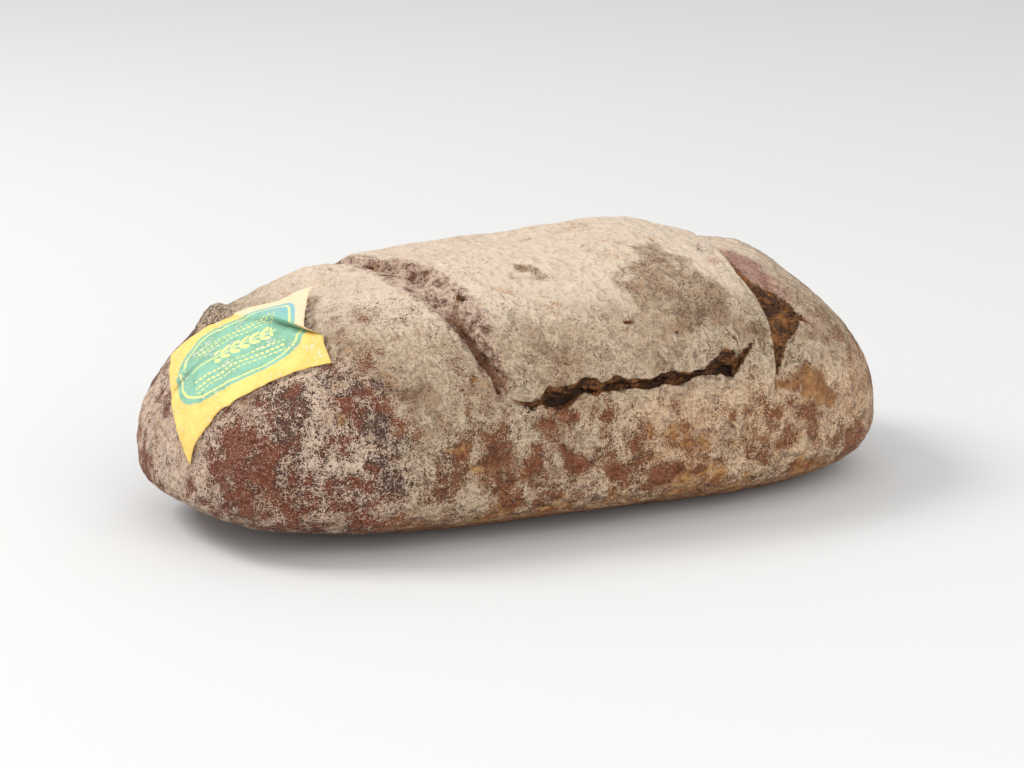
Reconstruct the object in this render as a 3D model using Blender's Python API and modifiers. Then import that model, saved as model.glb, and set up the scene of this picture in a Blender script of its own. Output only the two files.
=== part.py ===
"""A floured rye loaf with a torn slab of crust on top and a paper label stuck on one shoulder.

Metres, +Z up. X runs along the loaf, the labelled end is at -X, and the front with the long
crack faces -Y. The origin is on the surface that the loaf lies on, under its middle.
"""

import math

import bmesh
import bpy
import numpy as np
from mathutils import Vector, noise
from mathutils.bvhtree import BVHTree

# Driving dimensions of the risen dough, before it tore in the oven
LENGTH = 0.330
WIDTH = 0.162
WIDEST_LEVEL = 0.0255
RISE_ABOVE = 0.0815
DROP_BELOW = 0.0276
PLAN_POWER = 3.0
SIDE_POWER = 2.38
FAR_END_WIDER = 0.05
FAR_END_DEEPER = 0.42
FLAT_EASE = 0.0016

# Where the crust tore, as a row of stations. The left groove crosses the top, so its stations
# are (y, x of its middle, half width, depth)
LEFT_GROOVE = (
    (-0.077, -0.0420, 0.0020, 0.0008),
    (-0.072, -0.0440, 0.0036, 0.0030),
    (-0.060, -0.0470, 0.0048, 0.0056),
    (-0.048, -0.0510, 0.0058, 0.0062),
    (-0.034, -0.0565, 0.0064, 0.0062),
    (-0.018, -0.0605, 0.0066, 0.0058),
    (-0.004, -0.0620, 0.0058, 0.0050),
    (0.008, -0.0670, 0.0040, 0.0040),
    (0.022, -0.0710, 0.0036, 0.0034),
    (0.045, -0.0760, 0.0036, 0.0024),
    (0.068, -0.0810, 0.0030, 0.0008),
)
# The right groove opens on one side of the slab's sharp edge, so its stations are
# (y, x of the slab's edge, width of the torn crumb, width out to the old crust, depth)
RIGHT_GROOVE = (
    (-0.079, 0.0860, 0.0030, 0.0080, 0.0015),
    (-0.073, 0.0890, 0.0065, 0.0120, 0.0055),
    (-0.064, 0.0900, 0.0110, 0.0170, 0.0082),
    (-0.055, 0.0895, 0.0120, 0.0215, 0.0085),
    (-0.042, 0.0870, 0.0070, 0.0260, 0.0075),
    (-0.028, 0.0890, 0.0035, 0.0200, 0.0058),
    (-0.012, 0.0920, 0.0025, 0.0130, 0.0042),
    (0.010, 0.0950, 0.0025, 0.0100, 0.0036),
    (0.036, 0.0970, 0.0030, 0.0100, 0.0036),
    (0.060, 0.0965, 0.0030, 0.0085, 0.0026),
    (0.076, 0.0930, 0.0020, 0.0050, 0.0010),
)
# The crack runs along the front wall, so its stations are
# (x, height of its lower lip, opening, depth)
FRONT_CRACK = (
    (-0.0400, 0.0650, 0.0020, 0.0008),
    (-0.0300, 0.0588, 0.0024, 0.0020),
    (-0.0220, 0.0590, 0.0045, 0.0042),
    (-0.0150, 0.0575, 0.0082, 0.0070),
    (-0.0060, 0.0600, 0.0055, 0.0062),
    (0.0030, 0.0610, 0.0048, 0.0060),
    (0.0130, 0.0620, 0.0040, 0.0055),
    (0.0250, 0.0612, 0.0040, 0.0055),
    (0.0360, 0.0606, 0.0052, 0.0060),
    (0.0470, 0.0630, 0.0034, 0.0048),
    (0.0550, 0.0630, 0.0060, 0.0050),
    (0.0620, 0.0612, 0.0098, 0.0066),
    (0.0680, 0.0640, 0.0050, 0.0066),
    (0.0760, 0.0680, 0.0018, 0.0020),
)
SLAB_LIFT = 0.0030

# Towards the back the left groove becomes a step under the slab's rim
STEP_BEGINS = -0.046
STEP_IS_FULL = -0.022
STEP_WIDTH = 0.0030
STEP_SHARE = 0.8

# Where the relief fades out: heights for the grooves, the slab and the base, and places along Y
LEFT_FADE = (0.052, 0.066)
RIGHT_FADE = (0.046, 0.058)
SLAB_FADE = (0.055, 0.070)
BASE_FADE = (0.001, 0.012)
SLAB_BACK_FADE = (0.030, 0.066)
CRACK_FACES = -0.045

# How far in from each tear the slab takes to reach its full height
RIM_EASE = (-0.002, 0.010)
EDGE_EASE = (0.0, 0.004)
CRACK_EASE = (0.001, 0.010)

# A tear's wall: from where the crust bends over to where it meets the torn floor
LIP_BEND = 0.0014
LIP_FOOT = 0.0006
SLOPE_SIDE = 1.30
FLOOR_SHARE = 0.50
THINNEST_TEAR = 0.0030

# How many cells of skin lie between the ends of the loaf and the lines of its tears
CELLS_ALONG = (14, 2, 3, 23, 1, 3, 3, 9)
CELLS_ACROSS = 26
CELLS_UP = (9, 1, 3, 5)

# Soft lumps and dents of the dough: (where, how far it reaches, how far it stands out)
LUMPS = (
    ((-0.128, 0.026, 0.083), 0.015, 0.0030),
    ((-0.088, 0.016, 0.098), 0.026, 0.0046),
    ((-0.100, -0.064, 0.062), 0.034, 0.0030),
    ((-0.142, -0.040, 0.036), 0.030, 0.0020),
    ((0.054, 0.012, 0.108), 0.042, 0.0044),
    ((0.006, 0.014, 0.110), 0.028, -0.0028),
    ((-0.036, 0.012, 0.106), 0.048, -0.0026),
    ((-0.078, 0.042, 0.096), 0.024, -0.0030),
    ((0.130, 0.024, 0.084), 0.038, 0.0074),
    ((0.164, 0.024, 0.054), 0.044, -0.0036),
    ((-0.160, -0.030, 0.012), 0.042, -0.0026),
    ((-0.066, -0.072, 0.035), 0.030, -0.0014),
    ((0.020, -0.076, 0.036), 0.046, 0.0016),
    ((0.110, 0.066, 0.052), 0.034, 0.0022),
    ((0.020, 0.078, 0.048), 0.060, 0.0028),
    ((-0.066, 0.074, 0.050), 0.030, -0.0018),
    ((-0.152, 0.030, 0.040), 0.026, 0.0016),
)
ROLL_SIZE = 0.055
ROLL_HEIGHT = 0.0016
KNEADED = Vector((3.1, 7.7, 1.9))

# The paper label, its middle over the left shoulder, its sides and its folds
LABEL_MIDDLE = (-0.1284, -0.0178, 0.0756)
LABEL_ALONG = (0.763, -0.414, 0.499)
LABEL_ACROSS = (0.210, 0.893, 0.400)
LABEL_SIZE = (0.070, 0.057)
LABEL_TAPER = 0.09
LABEL_CELLS = (16, 15)
LABEL_THICK = 0.0004
LABEL_GAP = 0.0009
LABEL_REACH = 0.060
CORNER_CURL = 0.0030
CURL_ALONG = (0.55, 1.0)
CURL_ACROSS = (0.35, 1.0)
BUCKLE_HEIGHT = 0.0030
BUCKLE_PLACE = 0.42
BUCKLE_WIDTH = 0.22
BUCKLE_FADE = (-0.1, 0.9)

CRUST_COLOUR = (0.52, 0.41, 0.30)
PAPER_COLOUR = (0.85, 0.70, 0.16)
CRUST_ROUGHNESS = 0.9
PAPER_ROUGHNESS = 0.8


def clear_scene():
    for obj in list(bpy.data.objects):
        bpy.data.objects.remove(obj)


def finish(name, colour, roughness):
    """A plain crust or paper finish."""
    material = bpy.data.materials.new(name)
    material.use_nodes = True
    shader = material.node_tree.nodes["Principled BSDF"]
    shader.inputs["Base Color"].default_value = (*colour, 1.0)
    shader.inputs["Roughness"].default_value = roughness
    shader.inputs["Metallic"].default_value = 0.0
    return material


def smoothstep(value, low, high):
    t = np.clip((value - low) / (high - low), 0.0, 1.0)
    return t * t * (3.0 - 2.0 * t)


def dough_form(block):
    """Moves points of a cube, -1 to 1, onto the risen dough: a superellipsoid on a flat base."""
    spread = np.tan(block * math.pi / 4)
    plan = np.abs(spread[:, 0]) ** PLAN_POWER + np.abs(spread[:, 1]) ** PLAN_POWER
    size = plan ** (SIDE_POWER / PLAN_POWER) + np.abs(spread[:, 2]) ** SIDE_POWER
    points = spread * size[:, None] ** (-1.0 / SIDE_POWER)
    drop = DROP_BELOW * (1.0 + FAR_END_DEEPER * np.clip(points[:, 0], 0.0, 1.0) ** 1.5)
    points[:, 2] *= np.where(points[:, 2] > 0, RISE_ABOVE, drop)
    points[:, 1] *= WIDTH / 2 * (1.0 + FAR_END_WIDER * points[:, 0])
    points[:, 0] *= LENGTH / 2
    points[:, 2] += WIDEST_LEVEL
    return set_down(points)


def set_down(points):
    """Flattens what would sink into the baking stone, with a soft turn at the rim."""
    z = points[:, 2]
    eased = (z + FLAT_EASE) ** 2 / (4 * FLAT_EASE)
    points[:, 2] = np.where(z < -FLAT_EASE, 0.0, np.where(z < FLAT_EASE, eased, z))
    return points


def stations_at(stations, where):
    """The values of a row of stations at these places along it."""
    place, *values = np.array(stations, float).T
    return [np.interp(where, place, value) for value in values]


def groove_lines(y):
    """The x of each line of the two grooves at these y, from the labelled end on."""
    middle, half, _ = stations_at(LEFT_GROOVE, y)
    edge, torn, skin, _ = stations_at(RIGHT_GROOVE, y)
    half = np.maximum(half, THINNEST_TEAR)
    torn = np.maximum(torn, THINNEST_TEAR)
    skin = np.maximum(skin, 2 * THINNEST_TEAR)
    return (
        middle - SLOPE_SIDE * half,
        middle - FLOOR_SHARE * half,
        middle + SLOPE_SIDE * half,
        edge - LIP_BEND,
        edge + LIP_FOOT,
        edge + torn,
        edge + skin,
    )


def crack_lines(x):
    """The height of each line of the front crack at these x, from the base up."""
    lip, opening, _ = stations_at(FRONT_CRACK, x)
    return lip - LIP_BEND, lip + LIP_FOOT, lip + np.maximum(opening, THINNEST_TEAR)


def find_on_block(block, axis, is_past):
    """Where along one axis of the block its points come past a line on the dough."""
    low, high = -np.ones(len(block)), np.ones(len(block))
    for _ in range(24):
        middle = (low + high) / 2
        block[:, axis] = middle
        past = is_past(dough_form(block))
        low, high = np.where(past, low, middle), np.where(past, middle, high)
    return (low + high) / 2


def spread_cells(count, lines, cells):
    """Shares rows of cells out between the block's ends and these lines across it."""
    knots = [-np.ones(len(count)), *lines, np.ones(len(count))]
    place = np.full(len(count), -1.0)
    start = 0
    for low, high, many in zip(knots, knots[1:], cells):
        share = np.clip((count - start) / many, 0.0, 1.0)
        place += share * (high - low)
        start += many
    return place


def follow_tears(block):
    """Slides the cells of the evenly cut block until their edges lie along the tears."""
    column = (block[:, 0] + 1.0) / 2 * sum(CELLS_ALONG)
    row = (block[:, 2] + 1.0) / 2 * sum(CELLS_UP)
    placed = block.copy()
    for _ in range(3):
        by_front = placed.copy()
        by_front[:, 1] = -1.0
        heights = [
            find_on_block(by_front.copy(), 2, lambda p, n=n: p[:, 2] > crack_lines(p[:, 0])[n])
            for n in range(len(CELLS_UP) - 1)
        ]
        share = smoothstep(-block[:, 1], 0.4, 1.0)
        level = spread_cells(row, heights, CELLS_UP)
        placed[:, 2] = block[:, 2] + (level - block[:, 2]) * share
        ways = [
            find_on_block(placed.copy(), 0, lambda p, n=n: p[:, 0] > groove_lines(p[:, 1])[n])
            for n in range(len(CELLS_ALONG) - 1)
        ]
        share = smoothstep(block[:, 2], -0.8, -0.1)
        level = spread_cells(column, ways, CELLS_ALONG)
        placed[:, 0] = block[:, 0] + (level - block[:, 0]) * share
    return placed


def left_valley(points):
    """(depth, distance past its middle) of the left groove, deepest next to the rounded shoulder."""
    middle, half, depth = stations_at(LEFT_GROOVE, points[:, 1])
    past = points[:, 0] - middle
    reach = past / np.maximum(half, LIP_BEND)
    slope = 1.0 - smoothstep(reach, -FLOOR_SHARE, SLOPE_SIDE)
    wall = 1.0 - smoothstep(-reach, FLOOR_SHARE, SLOPE_SIDE)
    valley = np.minimum(slope, wall)
    rim = SLOPE_SIDE * half
    drop = 1.0 - smoothstep(past, rim - STEP_WIDTH, rim)
    step = np.minimum(drop, smoothstep(past, -rim, rim - STEP_WIDTH)) * STEP_SHARE
    to_step = smoothstep(points[:, 1], STEP_BEGINS, STEP_IS_FULL)
    shape = valley + (step - valley) * to_step
    return shape * depth * smoothstep(points[:, 2], *LEFT_FADE), past


def right_valley(points):
    """(depth, distance past the slab's edge) of the right groove."""
    edge, torn, skin, depth = stations_at(RIGHT_GROOVE, points[:, 1])
    past = points[:, 0] - edge
    crumb = 1.0 - 0.50 * np.clip(past / torn, 0.0, 1.0)
    old_skin = 0.50 * (1.0 - smoothstep(past, torn, skin)) ** 1.4
    shape = np.where(past < torn, crumb, old_skin) * smoothstep(past, -LIP_BEND, LIP_FOOT)
    return shape * depth * smoothstep(points[:, 2], *RIGHT_FADE), past


def front_gap(points):
    """(depth, height over the lower lip) of the front crack."""
    lip, opening, depth = stations_at(FRONT_CRACK, points[:, 0])
    over = points[:, 2] - lip
    roof = 1.0 - smoothstep(over / opening, 0.15, 1.0)
    shape = smoothstep(over, -LIP_BEND, LIP_FOOT) * roof
    stretch = (points[:, 0] > FRONT_CRACK[0][0]) & (points[:, 0] < FRONT_CRACK[-1][0])
    return shape * depth * stretch * (points[:, 1] < CRACK_FACES), over


def slab_rise(points, past_left, past_right, over_crack):
    """How far the slab of crust between the tears stands over the rest of the loaf."""
    between = smoothstep(past_left, *RIM_EASE) * smoothstep(-past_right, *EDGE_EASE)
    above = smoothstep(over_crack, *CRACK_EASE)
    back_edge = 1.0 - smoothstep(points[:, 1], *SLAB_BACK_FADE)
    return SLAB_LIFT * between * above * back_edge * smoothstep(points[:, 2], *SLAB_FADE)


def lump_rise(points):
    total = np.zeros(len(points))
    for where, reach, height in LUMPS:
        gone = ((points - where) ** 2).sum(1) / reach**2
        total += height * np.exp(-2.0 * gone)
    return total


def rolling(points):
    """The slow unevenness of dough shaped by hand."""
    return np.array([noise.noise(Vector(p) / ROLL_SIZE + KNEADED) for p in points]) * ROLL_HEIGHT


def relief(points):
    """How far each point of the smooth dough moves out, or in where the crust is torn."""
    left, past_left = left_valley(points)
    right, past_right = right_valley(points)
    front, over_crack = front_gap(points)
    tear = np.maximum(np.maximum(left, right), front)
    rise = slab_rise(points, past_left, past_right, over_crack)
    free = smoothstep(points[:, 2], *BASE_FADE)
    return (rise + lump_rise(points) + rolling(points)) * free - tear


def cut_block():
    """A cube from -1 to 1, cut evenly into as many cells as the skin has."""
    mesh = bmesh.new()
    bmesh.ops.create_cube(mesh, size=2.0)
    for axis, count in enumerate((sum(CELLS_ALONG), CELLS_ACROSS, sum(CELLS_UP))):
        ways = [e for e in mesh.edges if abs((e.verts[0].co - e.verts[1].co)[axis]) > 0.5]
        bmesh.ops.subdivide_edges(mesh, edges=ways, cuts=count - 1)
    return mesh


def place_vertices(mesh, points):
    for vertex, point in zip(mesh.verts, points):
        vertex.co = point


def make_loaf(collection):
    mesh = cut_block()
    block = np.array([v.co for v in mesh.verts], float)
    points = dough_form(follow_tears(block))
    place_vertices(mesh, points)
    mesh.normal_update()
    normals = np.array([v.normal for v in mesh.verts], float)
    points += normals * relief(points)[:, None]
    points[:, :2] -= (points.min(0) + points.max(0))[:2] / 2
    place_vertices(mesh, points)
    under = [f for f in mesh.faces if all(v.co.z < 1e-7 for v in f.verts)]
    bmesh.ops.dissolve_faces(mesh, faces=under)
    bmesh.ops.triangulate(mesh, faces=mesh.faces, quad_method="SHORT_EDGE")
    data = bpy.data.meshes.new("bread_loaf")
    mesh.to_mesh(data)
    mesh.free()
    data.shade_smooth()
    data.materials.append(finish("floured_crust", CRUST_COLOUR, CRUST_ROUGHNESS))
    loaf = bpy.data.objects.new("bread_loaf", data)
    collection.objects.link(loaf)
    return loaf


def paper_lift(along, across):
    """How far the paper stands off the crust: a buckle near the top and one curled corner."""
    buckle = np.exp(-(((across - BUCKLE_PLACE) / BUCKLE_WIDTH) ** 2))
    buckle *= smoothstep(along, *BUCKLE_FADE)
    curl = smoothstep(along, *CURL_ALONG) * smoothstep(across, *CURL_ACROSS)
    return BUCKLE_HEIGHT * buckle + CORNER_CURL * curl**1.5


def make_label(collection, loaf):
    """A thin sheet laid on the loaf by dropping each of its points straight on to the crust."""
    tree = BVHTree.FromPolygons(
        [v.co for v in loaf.data.vertices], [p.vertices for p in loaf.data.polygons]
    )
    along, across = Vector(LABEL_ALONG).normalized(), Vector(LABEL_ACROSS).normalized()
    outward = along.cross(across).normalized()
    across = outward.cross(along)
    mesh = bmesh.new()
    bmesh.ops.create_grid(mesh, x_segments=LABEL_CELLS[0], y_segments=LABEL_CELLS[1], size=1.0)
    bmesh.ops.triangulate(mesh, faces=mesh.faces)
    for vertex in mesh.verts:
        s, t = vertex.co.x, vertex.co.y
        start = Vector(LABEL_MIDDLE) + outward * LABEL_REACH
        width = LABEL_SIZE[1] * (1.0 - LABEL_TAPER * s)
        start += along * (s * LABEL_SIZE[0] / 2) + across * (t * width / 2)
        hit, _, _, _ = tree.ray_cast(start, -outward)
        lift = LABEL_GAP + float(paper_lift(np.array(s), np.array(t)))
        vertex.co = hit + outward * lift
    data = bpy.data.meshes.new("paper_label")
    mesh.to_mesh(data)
    mesh.free()
    data.materials.append(finish("yellow_paper", PAPER_COLOUR, PAPER_ROUGHNESS))
    label = bpy.data.objects.new("paper_label", data)
    collection.objects.link(label)
    thick = label.modifiers.new("thickness", "SOLIDIFY")
    thick.thickness = LABEL_THICK
    thick.offset = 1.0
    return label


def main():
    clear_scene()
    collection = bpy.data.collections.new("rye_loaf")
    bpy.context.scene.collection.children.link(collection)
    loaf = make_loaf(collection)
    make_label(collection, loaf)


main()
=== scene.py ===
import math

import bmesh
import bpy
import numpy as np
from mathutils import Matrix, Vector
from mathutils.bvhtree import BVHTree


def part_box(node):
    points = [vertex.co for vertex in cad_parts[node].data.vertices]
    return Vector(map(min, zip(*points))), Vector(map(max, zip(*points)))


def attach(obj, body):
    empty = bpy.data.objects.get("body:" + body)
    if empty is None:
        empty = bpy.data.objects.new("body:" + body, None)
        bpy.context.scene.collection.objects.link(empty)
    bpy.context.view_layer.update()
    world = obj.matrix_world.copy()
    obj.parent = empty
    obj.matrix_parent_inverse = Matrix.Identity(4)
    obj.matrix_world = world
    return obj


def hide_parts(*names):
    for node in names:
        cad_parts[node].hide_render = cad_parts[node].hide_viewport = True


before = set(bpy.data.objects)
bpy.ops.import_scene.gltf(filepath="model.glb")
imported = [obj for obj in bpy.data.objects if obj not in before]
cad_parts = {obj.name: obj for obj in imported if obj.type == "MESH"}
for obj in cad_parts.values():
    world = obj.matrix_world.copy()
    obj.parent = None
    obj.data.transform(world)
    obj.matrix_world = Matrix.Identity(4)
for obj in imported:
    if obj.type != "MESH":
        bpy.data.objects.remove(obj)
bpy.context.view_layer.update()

print("frame loaded:", sorted(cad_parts))

mm = 0.001


# numbers and noise shared by the pieces

def smooth(value, low, high):
    t = np.clip((value - low) / (high - low), 0, 1)
    return t * t * (3 - 2 * t)


def bell(value, wide):
    # 1 at 0, falling away evenly on both sides
    return np.exp(-((value / wide) ** 2))


layerSpin = np.array(Matrix.Rotation(0.9, 3, "X") @ Matrix.Rotation(0.7, 3, "Z"))


def lumps(points, size, seed, layers=1):
    # smooth noise from -1 to 1 with lumps of about this size
    spot = points / size + seed * 7.31
    total, whole = np.zeros(len(points)), 0.0
    for layer in range(layers):
        cell = np.floor(spot)
        part = spot - cell
        ease = (part * part * (3 - 2 * part)).T
        keys = (cell.astype(np.int64) * (73856093, 19349663, 83492791)).astype(np.uint32).T
        for x, y, z in np.ndindex(2, 2, 2):
            key = keys[0] + np.uint32(x * 73856093)
            key = key ^ keys[1] + np.uint32(y * 19349663) ^ keys[2] + np.uint32(z * 83492791)
            key = (key ^ key >> np.uint32(15)) * np.uint32(2246822519)
            key = (key ^ key >> np.uint32(13)) * np.uint32(3266489917)
            share = np.abs(1 - x - ease[0]) * np.abs(1 - y - ease[1]) * np.abs(1 - z - ease[2])
            total += 0.5**layer * share * ((key >> np.uint32(16)) / 32767.5 - 1)
        whole += 0.5**layer
        spot = spot @ layerSpin * 2.03
    return total / whole


# the loaf

dough = {
    "length": 0.330,
    "width": 0.162,
    "widestLevel": 0.0255,
    "riseAbove": 0.0815,
    "dropBelow": 0.0276,
    "planPower": 3.0,
    "sidePower": 2.38,
    "farEndWider": 0.05,
    "farEndDeeper": 0.42,
    "flatEase": 0.0016,
    "slabLift": 0.0030,
    "cellsAlong": (50, 7, 16, 122, 4, 16, 14, 34),
    "cellsAcross": 118,
    "cellsUp": (36, 4, 12, 15),
}

tears = {
    # y, then the x of the shoulder's edge, the floor and the slab's rim, and the depth
    "left": (
        (-0.078, -0.0415, -0.0395, -0.0370, 0.0006),
        (-0.073, -0.0445, -0.0405, -0.0375, 0.0030),
        (-0.068, -0.0490, -0.0435, -0.0390, 0.0048),
        (-0.060, -0.0530, -0.0480, -0.0405, 0.0058),
        (-0.050, -0.0575, -0.0525, -0.0430, 0.0062),
        (-0.038, -0.0630, -0.0575, -0.0470, 0.0060),
        (-0.024, -0.0680, -0.0620, -0.0510, 0.0058),
        (-0.010, -0.0690, -0.0640, -0.0535, 0.0052),
        (0.000, -0.0690, -0.0650, -0.0560, 0.0048),
        (0.009, -0.0715, -0.0685, -0.0630, 0.0040),
        (0.022, -0.0755, -0.0725, -0.0665, 0.0034),
        (0.045, -0.0810, -0.0780, -0.0715, 0.0024),
        (0.068, -0.0850, -0.0825, -0.0770, 0.0008),
    ),
    # y, then the x of the slab's edge, how wide the crumb is, how wide the skin is, the depth
    "right": (
        (-0.079, 0.0860, 0.0030, 0.0070, 0.0015),
        (-0.073, 0.0892, 0.0060, 0.0100, 0.0055),
        (-0.064, 0.0905, 0.0110, 0.0150, 0.0082),
        (-0.055, 0.0900, 0.0150, 0.0210, 0.0085),
        (-0.048, 0.0882, 0.0140, 0.0260, 0.0082),
        (-0.042, 0.0872, 0.0100, 0.0270, 0.0076),
        (-0.028, 0.0890, 0.0070, 0.0230, 0.0060),
        (-0.012, 0.0920, 0.0040, 0.0230, 0.0046),
        (-0.004, 0.0935, 0.0030, 0.0160, 0.0040),
        (0.004, 0.0945, 0.0025, 0.0100, 0.0036),
        (0.036, 0.0970, 0.0030, 0.0100, 0.0036),
        (0.060, 0.0965, 0.0030, 0.0085, 0.0026),
        (0.076, 0.0930, 0.0020, 0.0050, 0.0010),
    ),
    # x, then the height of the lower lip, how far the upper edge is over it, the depth
    "front": (
        (-0.041, 0.0650, 0.0008, 0.0006),
        (-0.034, 0.0605, 0.0008, 0.0012),
        (-0.027, 0.0588, 0.0010, 0.0018),
        (-0.023, 0.0590, 0.0010, 0.0016),
        (-0.021, 0.0580, 0.0075, 0.0058),
        (-0.016, 0.0570, 0.0080, 0.0070),
        (-0.012, 0.0572, 0.0080, 0.0072),
        (-0.008, 0.0595, 0.0068, 0.0064),
        (-0.004, 0.0615, 0.0052, 0.0060),
        (0.001, 0.0602, 0.0060, 0.0066),
        (0.004, 0.0612, 0.0030, 0.0050),
        (0.008, 0.0615, 0.0048, 0.0056),
        (0.010, 0.0615, 0.0060, 0.0058),
        (0.013, 0.0615, 0.0048, 0.0054),
        (0.016, 0.0612, 0.0030, 0.0050),
        (0.025, 0.0604, 0.0030, 0.0050),
        (0.031, 0.0612, 0.0030, 0.0050),
        (0.036, 0.0602, 0.0050, 0.0056),
        (0.043, 0.0612, 0.0036, 0.0052),
        (0.049, 0.0630, 0.0012, 0.0036),
        (0.053, 0.0625, 0.0018, 0.0040),
        (0.056, 0.0620, 0.0052, 0.0046),
        (0.059, 0.0615, 0.0080, 0.0056),
        (0.062, 0.0606, 0.0110, 0.0060),
        (0.066, 0.0604, 0.0102, 0.0068),
        (0.069, 0.0630, 0.0045, 0.0066),
        (0.071, 0.0650, 0.0030, 0.0052),
        (0.074, 0.0672, 0.0026, 0.0040),
        (0.077, 0.0690, 0.0012, 0.0014),
    ),
    "lipBend": 0.0010,
    "lipFoot": 0.0004,
    "thinnest": 0.0012,
    "scarpWide": 0.0026,
    "stepFrom": (-0.046, -0.022),  # y between which the left groove turns into a step
    "stepShare": 0.8,
    "leftFade": (0.052, 0.066),  # heights below which each tear runs out
    "rightFade": (0.046, 0.058),
    "slabFade": (0.055, 0.070),
    "slabBackFade": (0.030, 0.066),  # y where the raised slab sinks in at the back
    "rimEase": (-0.008, 0.004),  # how the slab rises in from each of its edges
    "edgeEase": (0, 0.004),
    "crackEase": (0.001, 0.010),
    "crackFaces": -0.045,  # the long crack is in front of this y
    "crumbWider": 0.0045,
}

# soft lumps and dents: where, how far each reaches, how far it stands out
doughLumps = (
    ((-0.128, 0.026, 0.083), 0.015, 0.0030),
    ((-0.088, 0.016, 0.098), 0.026, 0.0046),
    ((-0.100, -0.064, 0.062), 0.034, 0.0030),
    ((-0.142, -0.040, 0.036), 0.030, 0.0020),
    ((0.054, 0.012, 0.108), 0.042, 0.0044),
    ((0.006, 0.014, 0.110), 0.028, -0.0028),
    ((-0.036, 0.012, 0.106), 0.048, -0.0026),
    ((-0.078, 0.042, 0.096), 0.024, -0.0030),
    ((0.130, 0.024, 0.084), 0.038, 0.0074),
    ((0.164, 0.024, 0.054), 0.044, -0.0036),
    ((-0.160, -0.030, 0.012), 0.042, -0.0026),
    ((-0.066, -0.072, 0.035), 0.030, -0.0014),
    ((0.020, -0.076, 0.036), 0.046, 0.0016),
    ((0.110, 0.066, 0.052), 0.034, 0.0022),
    ((0.020, 0.078, 0.048), 0.060, 0.0028),
    ((-0.066, 0.074, 0.050), 0.030, -0.0018),
    ((-0.152, 0.030, 0.040), 0.026, 0.0016),
)

# short splits and pits: one end, the other end, half width, depth, all in mm
splits = (
    ((20, -66, 86), (24, -66, 85), 1.2, 1.4),
    ((33, -68, 82), (42, -70, 80), 1.3, 0.9),
    ((-14, -71, 80), (-3, -71, 81), 0.6, 0.5),
    ((-11, -74, 76), (-4, -74, 76), 0.6, 0.4),
    ((-71, -69, 73), (-72, -70, 69), 0.9, 0.9),
    ((-61, -74, 60), (-55, -74, 58), 1.2, 0.8),
    ((-50, -66, 73), (-51, -69, 70), 1.2, 1.6),
    ((102, -53, 79), (112, -57, 74), 1.5, 1.5),
    ((-47, -44, 98), (-45, -46, 97), 1.4, 1.8),
    ((-51, -22, 104), (-47, -20, 104), 1.5, 1.3),
    ((86, -31, 95), (89, -37, 93), 2.4, 1.0),
    ((77, -70, 70), (80, -70, 71), 1.0, 1.4),
)

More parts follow.
